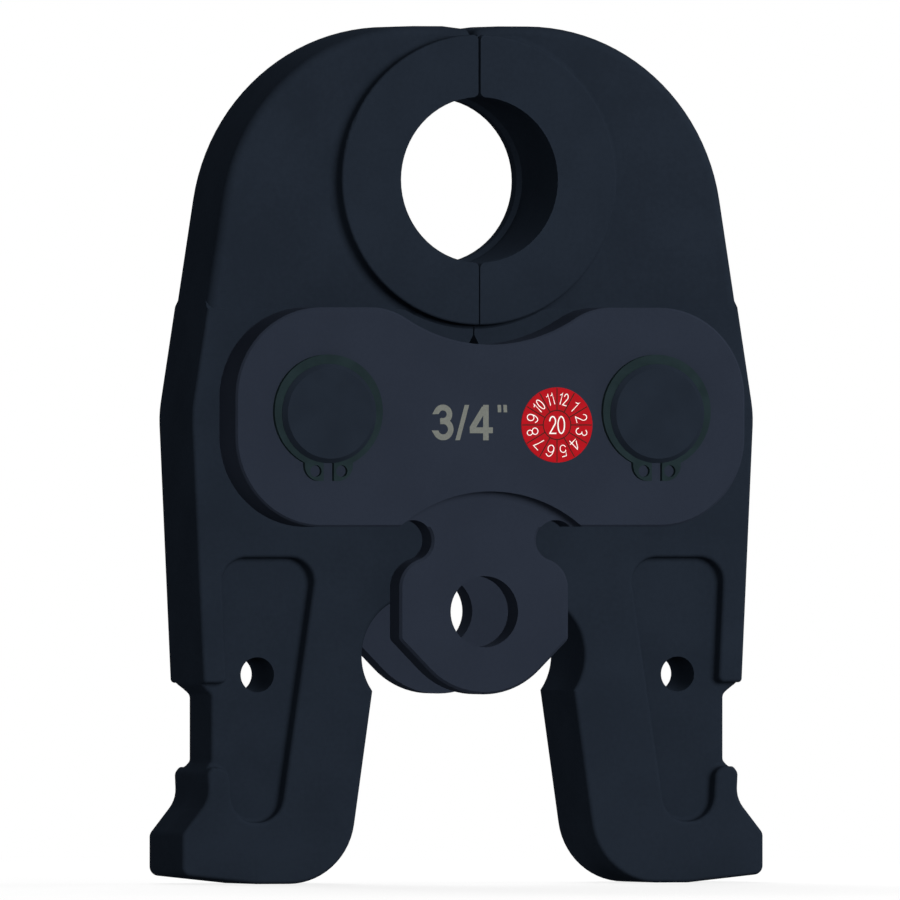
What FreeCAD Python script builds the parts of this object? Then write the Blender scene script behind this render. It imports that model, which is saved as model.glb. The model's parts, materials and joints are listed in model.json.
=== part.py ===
import FreeCAD, Part
import math
import os

# Press jaw for one size of pipe fitting, in millimetres.
# The origin is the middle of the tool bolt's bore. X runs from the left arm to the right arm,
# Y from the front plate to the rear plate and Z from the tails up to the press bore.
# Both arms are the same forging, turned half round about Z. The plates mirror each other.

# Press bore, split between the arms, and the boss around it
BORE_RADIUS = 16.75
BORE_HEIGHT = 87.2
BORE_LIP_LENGTH = 3.0
BORE_GROOVE_DEPTH = 0.8
BORE_GROOVE_SLOPE = 1.2
BOSS_WALL = 12.6
BOSS_HALF_WIDTH = 14.4
BOSS_FOOT_FILLET = 1.6
BOSS_RIM_RADIUS = 0.5
SPLIT_GAP_TOP = 0.5
SPLIT_GAP_BOTTOM = 0.3
SPLIT_CORNER_RADIUS = 1.6
LIP_CORNER_RADIUS = 1.1

# Arms: half thicknesses, and the low step from the head to the flank between the plates
HEAD_HALF_WIDTH = 10.5
FLANK_HALF_WIDTH = 10.75
FLANK_STEP_COVER = 0.5
FLANK_STEP_RISE = 0.25
HEAD_OVERLAP = 6.0
HEAD_EDGE_RADIUS = 2.0
FLANK_EDGE_RADIUS = 0.8

# Arms: outer outline
HEAD_TOP_WALL = 14.35
HEAD_DIP = 0.7
HEAD_DIP_HALF_WIDTH = 6.0
SHOULDER_HALF_WIDTH = 47.7
SHOULDER_RADIUS = 41.5
KNEE_OVERHANG = 25.1
KNEE_RADIUS = 24.0
FOOT_DROP = 54.9
HOOK_HEIGHT = 10.0
HOOK_REACH = 5.6
HOOK_CORNER_RADIUS = 1.9
HOOK_NECK_HALF_WIDTH = 56.5
HOOK_NECK_RISE = 7.0
HOOK_NECK_RADIUS = 6.0
FOOT_HALF_WIDTH = 46.0
FOOT_RISE = 1.7

# Arms: inner outline, with the cam faces that the tool's rollers press
CREVICE_RISE = 15.9
CREVICE_SLOPE_LENGTH = 17.4
CREVICE_HALF_WIDTH = 9.0
CREVICE_BEND_RADIUS = 6.0
HIP_HEIGHT = 9.5
HIP_RADIUS = 4.0
HIP_FOOT_HALF_WIDTH = 16.0
HOLLOW_RADIUS = 12.2
HOLLOW_CENTRE_X = 11.5
HOLLOW_CENTRE_DROP = 8.9
CUSP_DROP = 16.0
CAM_ANGLE = 8.2
TOE_RADIUS = 14.0

# Pocket, grip notch and hole in each tail
POCKET_DEPTH = 3.65
POCKET_TOP = 10.9
POCKET_TOP_RADIUS = 5.0
POCKET_INNER_HALF_WIDTH = 33.3
POCKET_INNER_ANGLE = 8.5
POCKET_FOOT_WALL = 12.4
POCKET_BOTTOM_RADIUS = 5.2
POCKET_BOTTOM_HALF_WIDTH = 51.2
POCKET_FLOOR_FILLET = 1.0
RIB_WALL = 5.1
RIB_CORNER_RADIUS = 1.2
NOTCH_DEPTH = 2.4
NOTCH_TOP_DROP = 14.4
NOTCH_FOOT_RISE = 5.3
NOTCH_RAMP = 2.4
NOTCH_RADIUS = 1.5
HOOK_SHELF_RISE = 1.2
HOOK_SHELF_HALF_WIDTH = 51.9
HOOK_SHELF_RADIUS = 2.5
WEB_EDGE_RADIUS = 0.8
TAIL_HOLE_RADIUS = 3.55
TAIL_HOLE_X = 44.9
TAIL_HOLE_DROP = 12.7

# Plates: a bar across both pivot pins, and a tongue for the tool bolt
PLATE_GAP = 0.35
BAR_THICKNESS = 10.5
BAR_END_REACH = 19.3
BAR_RISE = 21.4
BAR_FALL = 22.85
BAR_END_RADIUS = 18.2
BAR_DIP_GAP = 3.95
BAR_DIP_BLEND = 13.8
BAR_CHAMFER = 0.4
TONGUE_THICKNESS = 6.3
TONGUE_HALF_WIDTH = 18.0
TONGUE_END_RADIUS = 16.7
TONGUE_FLAT_CORNER_RADIUS = 1.5
TONGUE_SHOULDER_RADIUS = 6.0
NECK_LEAN = 18.5
TONGUE_CHAMFER = 0.5
STEP_ARC_RADIUS = 30.2
STEP_ARC_RISE = 7.15
STEP_ARC_FILLET = 1.4
NECK_HALF_WIDTH = 11.1
NECK_DROP = 2.75
NECK_NOTCH_RADIUS = 4.1
BOLT_BORE_RADIUS = 7.2

# Pivot pins, and the retaining rings in their grooves
PIN_RADIUS = 10.0
PIN_HALF_SPAN = 35.0
PIN_HEIGHT = 40.0
PIN_END_LENGTH = 2.4
PIN_CHAMFER = 0.9
PIN_ARM_CLEARANCE = 0.05
PIN_PLATE_CLEARANCE = 0.02
GROOVE_DEPTH = 0.5
GROOVE_WIDTH = 1.3
RING_THICKNESS = 1.2
RING_BORE_CLEARANCE = 0.05
RING_WALL = 1.95
RING_OFFSET = 0.4
RING_GAP = 2.2
LUG_HALF_WIDTH = 5.1
LUG_LENGTH = 4.05
LUG_CORNER_RADIUS = 3.2
LUG_HOLE_RADIUS = 1.2
LUG_HOLE_X = 2.75
LUG_END_WALL = 2.0

# Closing spring: a coil in the crevice, with one leg into a hole in each arm
SPRING_WIRE_RADIUS = 0.9
SPRING_COIL_RADIUS = 3.6
SPRING_TURNS = 5
SPRING_TURN_GAP = 0.3
SPRING_RISE = 3.5
SPRING_LEG_DROP = 19.0
SPRING_LEG_SPREAD = 4.2
SPRING_BEND_RADIUS = 2.4
SPRING_TIP_LENGTH = 4.0
SPRING_HOLE_CLEARANCE = 0.25
SPRING_HOLE_REST = 1.0

# Inspection sticker on the front plate
STICKER_RADIUS = 7.6
STICKER_THICKNESS = 0.15
STICKER_FROM_PIN = 21.0
STICKER_BELOW_PIN = 2.3

# Sizes that follow from the ones above
BOSS_RADIUS = BORE_RADIUS + BOSS_WALL
HEAD_TOP = BORE_HEIGHT + BORE_RADIUS + HEAD_TOP_WALL
KNEE_HALF_WIDTH = PIN_HALF_SPAN + KNEE_OVERHANG
CREVICE_TOP = PIN_HEIGHT + CREVICE_RISE
HOOK_HALF_WIDTH = HOOK_NECK_HALF_WIDTH + HOOK_REACH
HOOK_TOP_DROP = FOOT_DROP - HOOK_HEIGHT
HOOK_NECK_DROP = HOOK_TOP_DROP - HOOK_NECK_RISE
NOTCH_BOTTOM_DROP = HOOK_NECK_DROP - NOTCH_FOOT_RISE
POCKET_BOTTOM_DROP = FOOT_DROP - POCKET_FOOT_WALL
WEB_HALF_WIDTH = FLANK_HALF_WIDTH - POCKET_DEPTH
PLATE_INNER = FLANK_HALF_WIDTH + PLATE_GAP
BAR_OUTER = PLATE_INNER + BAR_THICKNESS
BAR_HALF_LENGTH = PIN_HALF_SPAN + BAR_END_REACH
BAR_TOP = PIN_HEIGHT + BAR_RISE
BAR_BOTTOM = PIN_HEIGHT - BAR_FALL
FLANK_TOP = BAR_TOP - FLANK_STEP_COVER
TONGUE_OUTER = PLATE_INNER + TONGUE_THICKNESS
NECK_HEIGHT = BAR_BOTTOM - NECK_DROP
NECK_NOTCH_X = NECK_HALF_WIDTH + NECK_NOTCH_RADIUS
PIN_HALF_LENGTH = BAR_OUTER + PIN_END_LENGTH
GROOVE_RADIUS = PIN_RADIUS - GROOVE_DEPTH
GROOVE_INNER = BAR_OUTER
GROOVE_OUTER = GROOVE_INNER + GROOVE_WIDTH
RING_INNER = (GROOVE_INNER + GROOVE_OUTER - RING_THICKNESS) / 2
RING_BORE_RADIUS = GROOVE_RADIUS + RING_BORE_CLEARANCE
LUG_DROP = RING_BORE_RADIUS + LUG_LENGTH
SPRING_HEIGHT = PIN_HEIGHT + SPRING_RISE
SPRING_PITCH = 2 * SPRING_WIRE_RADIUS + SPRING_TURN_GAP
SPRING_LEG_ANGLE = math.atan(SPRING_LEG_SPREAD / SPRING_LEG_DROP)

# How far a cutter runs past what it cuts, and how near two coordinates are the same
BEYOND = 5.0
TOUCHING = 0.001


def at(x, y, z):
    """A point of the part's frame."""
    return FreeCAD.Vector(x, y, z)


def corner_reach(points, index, radius):
    """How far a corner's tangent arc reaches along its two sides."""
    back = points[index - 1] - points[index]
    ahead = points[(index + 1) % len(points)] - points[index]
    return radius / math.tan(back.getAngle(ahead) / 2)


def fitted_reach(points, reaches, index):
    """A corner's reach, cut to its share of each side that two arcs would overfill."""
    fitted = reaches[index]
    for beside in (index - 1, (index + 1) % len(points)):
        side = (points[beside] - points[index]).Length
        needed = reaches[index] + reaches[beside]
        if needed > side:
            fitted = min(fitted, reaches[index] * side / needed)
    return fitted


def rounded_face(corners, place):
    """A face from corners (u, v, radius) joined by tangent arcs, where place(u, v) is a point."""
    points = [place(u, v) for u, v, radius in corners]
    reaches = [corner_reach(points, index, corner[2]) for index, corner in enumerate(corners)]
    arcs = []
    for index, here in enumerate(points):
        reach = fitted_reach(points, reaches, index)
        if reach <= 0:
            arcs.append((here, None, here))
            continue
        back = (points[index - 1] - here).normalize()
        ahead = (points[(index + 1) % len(points)] - here).normalize()
        half = back.getAngle(ahead) / 2
        bisector = (back + ahead).normalize()
        middle = here + bisector * (reach * (1 - math.sin(half)) / math.cos(half))
        arcs.append((here + back * reach, middle, here + ahead * reach))
    edges = []
    for index, (start, middle, end) in enumerate(arcs):
        if middle is not None:
            edges.append(Part.Arc(start, middle, end).toShape())
        following = arcs[(index + 1) % len(arcs)][0]
        if (following - end).Length > TOUCHING:
            edges.append(Part.LineSegment(end, following).toShape())
    return Part.Face(Part.Wire(edges))


def slab(corners, y_low, y_high):
    """A plate between two planes across Y, from corners (x, z, radius)."""
    face = rounded_face(corners, lambda x, z: at(x, y_low, z))
    return face.extrude(at(0, y_high - y_low, 0))


def disc(radius, x, z, y_low, y_high):
    """A cylinder along Y."""
    return Part.makeCylinder(radius, y_high - y_low, at(x, y_low, z), at(0, 1, 0))


def turned(corners, x, z):
    """A solid turned about the line along Y at (x, z), from corners (r, y, radius)."""
    face = rounded_face(corners, lambda r, y: at(x + r, y, z))
    return face.revolve(at(x, 0, z), at(0, 1, 0), 360)


def mirrored_y(shape):
    """The copy of a shape across the middle plane between the plates."""
    return shape.mirror(at(0, 0, 0), at(0, 1, 0))


def turned_half(shape):
    """The copy of a shape turned half round about Z."""
    copy = shape.copy()
    copy.rotate(at(0, 0, 0), at(0, 0, 1), 180)
    return copy


def middle_of(edge):
    """The point halfway along an edge."""
    first, last = edge.ParameterRange
    return edge.valueAt((first + last) / 2)


def edges_in_plane(shape, y, keep):
    """The edges of a shape in the plane at y whose middle (x, z) passes keep."""
    found = []
    for edge in shape.Edges:
        ends_in_plane = all(abs(vertex.Y - y) < TOUCHING for vertex in edge.Vertexes)
        middle = middle_of(edge)
        if ends_in_plane and abs(middle.y - y) < TOUCHING and keep(middle.x, middle.z):
            found.append(edge)
    return found


def edges_along_z(shape, x, y):
    """The edges of a shape that run along Z through (x, y)."""
    found = []
    for edge in shape.Edges:
        if all(math.hypot(vertex.X - x, vertex.Y - y) < TOUCHING for vertex in edge.Vertexes):
            found.append(edge)
    return found


def cusp_x():
    """Where the hollow and the cam face meet."""
    rise = CUSP_DROP - HOLLOW_CENTRE_DROP
    return HOLLOW_CENTRE_X + math.sqrt(HOLLOW_RADIUS ** 2 - rise ** 2)


def cam_x(drop):
    """The x of the cam face at a depth below the bolt."""
    return cusp_x() + (drop - CUSP_DROP) * math.tan(math.radians(CAM_ANGLE))


def flank_x(drop):
    """The x of the outer flank at a depth below the bolt."""
    lean = (KNEE_HALF_WIDTH - HOOK_NECK_HALF_WIDTH) / (PIN_HEIGHT + HOOK_NECK_DROP)
    return HOOK_NECK_HALF_WIDTH + (HOOK_NECK_DROP - drop) * lean


def notch_x():
    """The x of the grip notch's straight edge."""
    return flank_x((NOTCH_TOP_DROP + NOTCH_BOTTOM_DROP) / 2) - NOTCH_DEPTH


def pocket_inner_x(drop):
    """The x of the pocket's slanted inner wall at a depth below the bolt."""
    return POCKET_INNER_HALF_WIDTH + (POCKET_TOP + drop) * math.tan(math.radians(POCKET_INNER_ANGLE))


def arm_outline():
    """The right arm's outline, from the top of the split round the shoulder to the tail."""
    split = SPLIT_GAP_TOP / 2
    crevice = SPLIT_GAP_BOTTOM / 2
    hip_foot = math.sqrt(HOLLOW_RADIUS ** 2 - (HIP_FOOT_HALF_WIDTH - HOLLOW_CENTRE_X) ** 2)
    return [
        (split, HEAD_TOP - HEAD_DIP, SPLIT_CORNER_RADIUS),
        (HEAD_DIP_HALF_WIDTH, HEAD_TOP, 0),
        (SHOULDER_HALF_WIDTH, HEAD_TOP, SHOULDER_RADIUS),
        (KNEE_HALF_WIDTH, PIN_HEIGHT, KNEE_RADIUS),
        (flank_x(NOTCH_TOP_DROP), -NOTCH_TOP_DROP, NOTCH_RADIUS),
        (notch_x(), -NOTCH_TOP_DROP - NOTCH_RAMP, NOTCH_RADIUS),
        (notch_x(), -NOTCH_BOTTOM_DROP + NOTCH_RAMP, NOTCH_RADIUS),
        (flank_x(NOTCH_BOTTOM_DROP), -NOTCH_BOTTOM_DROP, NOTCH_RADIUS),
        (HOOK_NECK_HALF_WIDTH, -HOOK_NECK_DROP, HOOK_NECK_RADIUS),
        (HOOK_HALF_WIDTH, -HOOK_TOP_DROP, HOOK_CORNER_RADIUS),
        (HOOK_HALF_WIDTH, FOOT_RISE - FOOT_DROP, HOOK_CORNER_RADIUS),
        (FOOT_HALF_WIDTH, -FOOT_DROP, 0),
        (cam_x(FOOT_DROP), -FOOT_DROP, TOE_RADIUS),
        (cusp_x(), -CUSP_DROP, 0),
        (HIP_FOOT_HALF_WIDTH, hip_foot - HOLLOW_CENTRE_DROP, 0),
        (CREVICE_HALF_WIDTH, HIP_HEIGHT, HIP_RADIUS),
        (CREVICE_HALF_WIDTH, CREVICE_TOP - CREVICE_SLOPE_LENGTH, CREVICE_BEND_RADIUS),
        (crevice, CREVICE_TOP, 0),
        (crevice, BORE_HEIGHT, 0),
        (split, BORE_HEIGHT, 0),
    ]


def head():
    """The upper part of the right arm, with rounded outer edges."""
    shape = slab(arm_outline(), -HEAD_HALF_WIDTH, HEAD_HALF_WIDTH)
    head_foot = FLANK_TOP - HEAD_OVERLAP
    depth = head_foot + FOOT_DROP + BEYOND
    corner = at(-BEYOND, -FLANK_HALF_WIDTH, head_foot - depth)
    shape = shape.cut(Part.makeBox(2 * HOOK_HALF_WIDTH, 2 * FLANK_HALF_WIDTH, depth, corner))
    rim = []
    for y in (-HEAD_HALF_WIDTH, HEAD_HALF_WIDTH):
        rim += edges_in_plane(shape, y, lambda x, z: x > SPLIT_GAP_TOP and z > head_foot + TOUCHING)
    return shape.makeFillet(HEAD_EDGE_RADIUS, rim)


def flank():
    """The lower part of the right arm: the pin eye between the plates, and the tail."""
    shape = slab(arm_outline(), -FLANK_HALF_WIDTH, FLANK_HALF_WIDTH)
    hollow = disc(
        HOLLOW_RADIUS, HOLLOW_CENTRE_X, -HOLLOW_CENTRE_DROP, -FLANK_HALF_WIDTH, FLANK_HALF_WIDTH
    )
    shape = shape.cut(hollow)
    slope = FLANK_STEP_RISE / (FLANK_HALF_WIDTH - HEAD_HALF_WIDTH)
    beside = FLANK_HALF_WIDTH + BEYOND
    above = HEAD_TOP + BEYOND
    side = [
        at(-BEYOND, 0, FLANK_TOP + slope * FLANK_HALF_WIDTH),
        at(-BEYOND, -beside, FLANK_TOP - slope * BEYOND),
        at(-BEYOND, -beside, above),
        at(-BEYOND, beside, above),
        at(-BEYOND, beside, FLANK_TOP - slope * BEYOND),
    ]
    above_step = Part.Face(Part.makePolygon(side + side[:1]))
    shape = shape.cut(above_step.extrude(at(2 * HOOK_HALF_WIDTH, 0, 0)))

    def outside_plates(x, z):
        in_crevice = x <= HIP_FOOT_HALF_WIDTH and z > -CUSP_DROP
        return not in_crevice and z < FLANK_TOP - TOUCHING

    rim = []
    for y in (-FLANK_HALF_WIDTH, FLANK_HALF_WIDTH):
        rim += edges_in_plane(shape, y, outside_plates)
    return shape.makeFillet(FLANK_EDGE_RADIUS, rim)


def boss():
    """The round boss of the press bore on the arm's faces, with a cove at its foot."""
    foot = BOSS_RADIUS + BOSS_FOOT_FILLET
    front = [(0, -BOSS_HALF_WIDTH, 0), (BOSS_RADIUS, -BOSS_HALF_WIDTH, BOSS_RIM_RADIUS)]
    back = [(BOSS_RADIUS, BOSS_HALF_WIDTH, BOSS_RIM_RADIUS), (0, BOSS_HALF_WIDTH, 0)]
    drum = turned(front + back, 0, BORE_HEIGHT)
    cove = [
        (BOSS_RADIUS, -HEAD_HALF_WIDTH, BOSS_FOOT_FILLET),
        (foot, -HEAD_HALF_WIDTH, 0),
        (foot, HEAD_HALF_WIDTH, 0),
        (BOSS_RADIUS, HEAD_HALF_WIDTH, BOSS_FOOT_FILLET),
    ]
    coved_drum = turned(front + cove + back, 0, BORE_HEIGHT)
    corner = at(-foot, -BOSS_HALF_WIDTH, HEAD_TOP - HEAD_EDGE_RADIUS)
    above_head_face = Part.makeBox(2 * foot, 2 * BOSS_HALF_WIDTH, foot, corner)
    whole = drum.fuse(coved_drum.cut(above_head_face))
    return whole.common(slab(arm_outline(), -BOSS_HALF_WIDTH, BOSS_HALF_WIDTH))


def bore_cutter():
    """The space of the press bore: a lip at each face and a wider groove between them."""
    groove = BORE_RADIUS + BORE_GROOVE_DEPTH
    lip = BOSS_HALF_WIDTH - BORE_LIP_LENGTH
    floor = lip - BORE_GROOVE_SLOPE
    end = BOSS_HALF_WIDTH + BEYOND
    corners = [
        (0, -end, 0),
        (BORE_RADIUS, -end, 0),
        (BORE_RADIUS, -lip, 0),
        (groove, -floor, 0),
        (groove, floor, 0),
        (BORE_RADIUS, lip, 0),
        (BORE_RADIUS, end, 0),
        (0, end, 0),
    ]
    return turned(corners, 0, BORE_HEIGHT)


def split_corner_cutter(split, circle, above, outside, y_low, y_high):
    """What rounds the corner between the split and a circle about the bore's centre.

    The corner is above the centre (1) or below it (-1), and the arm is outside (1) the circle
    or inside it (-1).
    """
    radius = LIP_CORNER_RADIUS
    lean = math.asin((split + radius) / (circle + outside * radius))
    end_x = circle * math.sin(lean)
    end_z = BORE_HEIGHT + above * circle * math.cos(lean)
    corner_z = end_z + above * (end_x - split) * math.tan(lean)
    towards_arm = above * outside * radius
    corners = [
        (split - radius, corner_z + 2 * towards_arm, 0),
        (split, corner_z + 2 * towards_arm, 0),
        (split, corner_z, radius),
        (end_x, end_z, 0),
        (end_x, end_z - towards_arm, 0),
        (split - radius, end_z - towards_arm, 0),
    ]
    return slab(corners, y_low, y_high)


def split_corner_cutters():
    """The roundings where the split meets the bore's lips and the top of the boss."""
    split = SPLIT_GAP_TOP / 2
    crevice = SPLIT_GAP_BOTTOM / 2
    end = BOSS_HALF_WIDTH + BEYOND
    cove = HEAD_HALF_WIDTH + BOSS_FOOT_FILLET
    rim = split_corner_cutter(split, BOSS_RADIUS, 1, -1, -end, -cove)
    return [
        split_corner_cutter(split, BORE_RADIUS, 1, 1, -end, end),
        split_corner_cutter(crevice, BORE_RADIUS, -1, 1, -end, end),
        rim,
        mirrored_y(rim),
    ]


def pocket_cutter():
    """The pocket in a tail's front face, open to the side at the grip notch."""
    inner_bottom = pocket_inner_x(POCKET_BOTTOM_DROP)
    shelf = NOTCH_BOTTOM_DROP - HOOK_SHELF_RISE
    outside = HOOK_HALF_WIDTH + BEYOND
    corners = [
        (POCKET_INNER_HALF_WIDTH, POCKET_TOP, POCKET_TOP_RADIUS),
        (flank_x(-POCKET_TOP) - RIB_WALL, POCKET_TOP, POCKET_TOP_RADIUS),
        (flank_x(NOTCH_TOP_DROP) - RIB_WALL, -NOTCH_TOP_DROP, RIB_CORNER_RADIUS),
        (outside, -NOTCH_TOP_DROP, 0),
        (outside, -shelf, 0),
        (HOOK_SHELF_HALF_WIDTH, -shelf, HOOK_SHELF_RADIUS),
        (POCKET_BOTTOM_HALF_WIDTH, -POCKET_BOTTOM_DROP, POCKET_BOTTOM_RADIUS),
        (inner_bottom, -POCKET_BOTTOM_DROP, POCKET_BOTTOM_RADIUS),
    ]
    shape = slab(corners, -FLANK_HALF_WIDTH - BEYOND, -WEB_HALF_WIDTH)
    floor_edges = edges_in_plane(shape, -WEB_HALF_WIDTH, lambda x, z: x < outside - BEYOND / 2)
    return shape.makeFillet(POCKET_FLOOR_FILLET, floor_edges)


def spring_path_points():
    """The right leg's points, from its tip to where it joins the coil, and the coil's length."""
    lean = SPRING_LEG_ANGLE
    turns = SPRING_TURNS + 0.5 - lean / math.pi
    length = SPRING_PITCH * turns
    start = at(
        SPRING_COIL_RADIUS * math.cos(lean), length / 2,
        SPRING_HEIGHT + SPRING_COIL_RADIUS * math.sin(lean),
    )
    climb = SPRING_PITCH / (2 * math.pi * SPRING_COIL_RADIUS)
    leg = at(-math.sin(lean), -climb, math.cos(lean))
    bend = start - leg * (SPRING_LEG_DROP / math.cos(lean))
    tip = at(CREVICE_HALF_WIDTH + SPRING_TIP_LENGTH, bend.y, bend.z)
    return tip, bend, start, length, turns


def closing_spring():
    """A torsion spring: a coil about Y, and two legs bent out into the arms' holes."""
    tip, bend, start, length, turns = spring_path_points()
    back = (tip - bend).normalize()
    ahead = (start - bend).normalize()
    half = back.getAngle(ahead) / 2
    reach = SPRING_BEND_RADIUS / math.tan(half)
    bisector = (back + ahead).normalize()
    middle = bend + bisector * (SPRING_BEND_RADIUS / math.sin(half) - SPRING_BEND_RADIUS)
    first = bend + back * reach
    last = bend + ahead * reach
    coil = Part.makeHelix(SPRING_PITCH, SPRING_PITCH * turns, SPRING_COIL_RADIUS)
    coil.rotate(at(0, 0, 0), at(1, 0, 0), 90)
    coil.rotate(at(0, 0, 0), at(0, 1, 0), -math.degrees(SPRING_LEG_ANGLE))
    coil.translate(at(0, length / 2, SPRING_HEIGHT))
    leg = [
        Part.LineSegment(tip, first).toShape(),
        Part.Arc(first, middle, last).toShape(),
        Part.LineSegment(last, start).toShape(),
    ]
    other_leg = [turned_half(edge) for edge in leg]
    path = Part.Wire(leg + coil.Edges + other_leg[::-1])
    section = Part.Wire(Part.makeCircle(SPRING_WIRE_RADIUS, tip, at(1, 0, 0)))
    return path.makePipeShell([section], True, False)


def spring_hole():
    """The hole in the right arm's crevice wall that takes the spring's tip."""
    tip, bend, start, length, turns = spring_path_points()
    radius = SPRING_WIRE_RADIUS + SPRING_HOLE_CLEARANCE
    depth = SPRING_TIP_LENGTH + SPRING_HOLE_REST
    mouth = CREVICE_HALF_WIDTH - radius
    return Part.makeCylinder(radius, depth + radius, at(mouth, bend.y, bend.z), at(1, 0, 0))


def arm():
    """The right arm, as one forging."""
    shape = flank().fuse([head(), boss()])
    tools = [bore_cutter(), pocket_cutter(), mirrored_y(pocket_cutter()), spring_hole()]
    tools += split_corner_cutters()
    end = FLANK_HALF_WIDTH + BEYOND
    tools.append(disc(PIN_RADIUS + PIN_ARM_CLEARANCE, PIN_HALF_SPAN, PIN_HEIGHT, -end, end))
    tools.append(disc(TAIL_HOLE_RADIUS, TAIL_HOLE_X, -TAIL_HOLE_DROP, -end, end))
    shape = shape.cut(tools).removeSplitter()
    web_edges = edges_along_z(shape, notch_x(), -WEB_HALF_WIDTH)
    web_edges += edges_along_z(shape, notch_x(), WEB_HALF_WIDTH)
    return shape.makeFillet(WEB_EDGE_RADIUS, web_edges)


def dip_corners():
    """The bar's top edge where it dips round the boss, from left to right."""
    radius = BOSS_RADIUS + BAR_DIP_GAP
    spread = radius + BAR_DIP_BLEND
    rise = BORE_HEIGHT - BAR_TOP + BAR_DIP_BLEND
    if rise >= spread:
        return []
    lean = math.acos(rise / spread)
    side = spread * math.sin(lean) - BAR_DIP_BLEND * math.tan(lean / 2)
    foot = BORE_HEIGHT - radius / math.cos(lean)
    return [
        (-side, BAR_TOP, BAR_DIP_BLEND),
        (0, foot, radius),
        (side, BAR_TOP, BAR_DIP_BLEND),
    ]


def bar():
    """The front plate's bar: rounded ends, a dip below the boss and a step above the tongue."""
    corners = [(-BAR_HALF_LENGTH, BAR_TOP, BAR_END_RADIUS)] + dip_corners() + [
        (BAR_HALF_LENGTH, BAR_TOP, BAR_END_RADIUS),
        (BAR_HALF_LENGTH, BAR_BOTTOM, BAR_END_RADIUS),
        (-BAR_HALF_LENGTH, BAR_BOTTOM, BAR_END_RADIUS),
    ]
    shape = slab(corners, -BAR_OUTER, -PLATE_INNER)
    rim = edges_in_plane(shape, -BAR_OUTER, lambda x, z: True)
    shape = shape.makeChamfer(BAR_CHAMFER, rim)
    step = turned([
        (0, -BAR_OUTER - BEYOND, 0),
        (STEP_ARC_RADIUS, -BAR_OUTER - BEYOND, 0),
        (STEP_ARC_RADIUS, -TONGUE_OUTER, STEP_ARC_FILLET),
        (0, -TONGUE_OUTER, 0),
    ], 0, BAR_BOTTOM + STEP_ARC_RISE - STEP_ARC_RADIUS)
    return shape.cut(step)


def tongue():
    """The front plate's tongue, with its neck, down to the flats at its end."""
    flat_foot = TONGUE_HALF_WIDTH - TONGUE_END_RADIUS * math.sqrt(2)
    half_turn = math.radians(90 + NECK_LEAN) / 2
    neck_corner = NECK_HEIGHT - NECK_NOTCH_RADIUS / math.tan(half_turn)
    shoulder_drop = (TONGUE_HALF_WIDTH - NECK_HALF_WIDTH) * math.tan(math.radians(NECK_LEAN))
    side = [
        (TONGUE_HALF_WIDTH, BAR_BOTTOM + BAR_END_RADIUS, 0),
        (TONGUE_HALF_WIDTH, NECK_HEIGHT + NECK_NOTCH_RADIUS, 0),
        (NECK_HALF_WIDTH, NECK_HEIGHT + NECK_NOTCH_RADIUS, NECK_NOTCH_RADIUS),
        (NECK_HALF_WIDTH, neck_corner, NECK_NOTCH_RADIUS),
        (TONGUE_HALF_WIDTH, neck_corner - shoulder_drop, TONGUE_SHOULDER_RADIUS),
        (TONGUE_HALF_WIDTH, flat_foot, TONGUE_FLAT_CORNER_RADIUS),
    ]
    end = [(0, flat_foot - TONGUE_HALF_WIDTH, TONGUE_END_RADIUS)]
    corners = side + end + [(-x, z, radius) for x, z, radius in reversed(side)]
    shape = slab(corners, -TONGUE_OUTER, -PLATE_INNER)
    rim = edges_in_plane(shape, -TONGUE_OUTER, lambda x, z: z < NECK_HEIGHT)
    return shape.makeChamfer(TONGUE_CHAMFER, rim)


def plate():
    """The front plate, as one piece."""
    shape = bar().fuse(tongue())
    end = BAR_OUTER + BEYOND
    tools = [disc(BOLT_BORE_RADIUS, 0, 0, -end, 0)]
    for side in (-1, 1):
        tools.append(disc(NECK_NOTCH_RADIUS, side * NECK_NOTCH_X, NECK_HEIGHT, -end, 0))
        pin_hole = PIN_RADIUS + PIN_PLATE_CLEARANCE
        tools.append(disc(pin_hole, side * PIN_HALF_SPAN, PIN_HEIGHT, -end, 0))
    return shape.cut(tools).removeSplitter()


def pivot_pin():
    """The right pivot pin, grooved near both ends for its retaining rings."""
    half = [
        (0, PIN_HALF_LENGTH),
        (PIN_RADIUS - PIN_CHAMFER, PIN_HALF_LENGTH),
        (PIN_RADIUS, PIN_HALF_LENGTH - PIN_CHAMFER),
        (PIN_RADIUS, GROOVE_OUTER),
        (GROOVE_RADIUS, GROOVE_OUTER),
        (GROOVE_RADIUS, GROOVE_INNER),
        (PIN_RADIUS, GROOVE_INNER),
    ]
    corners = [(r, y, 0) for r, y in half] + [(r, -y, 0) for r, y in reversed(half)]
    return turned(corners, PIN_HALF_SPAN, PIN_HEIGHT)


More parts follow.
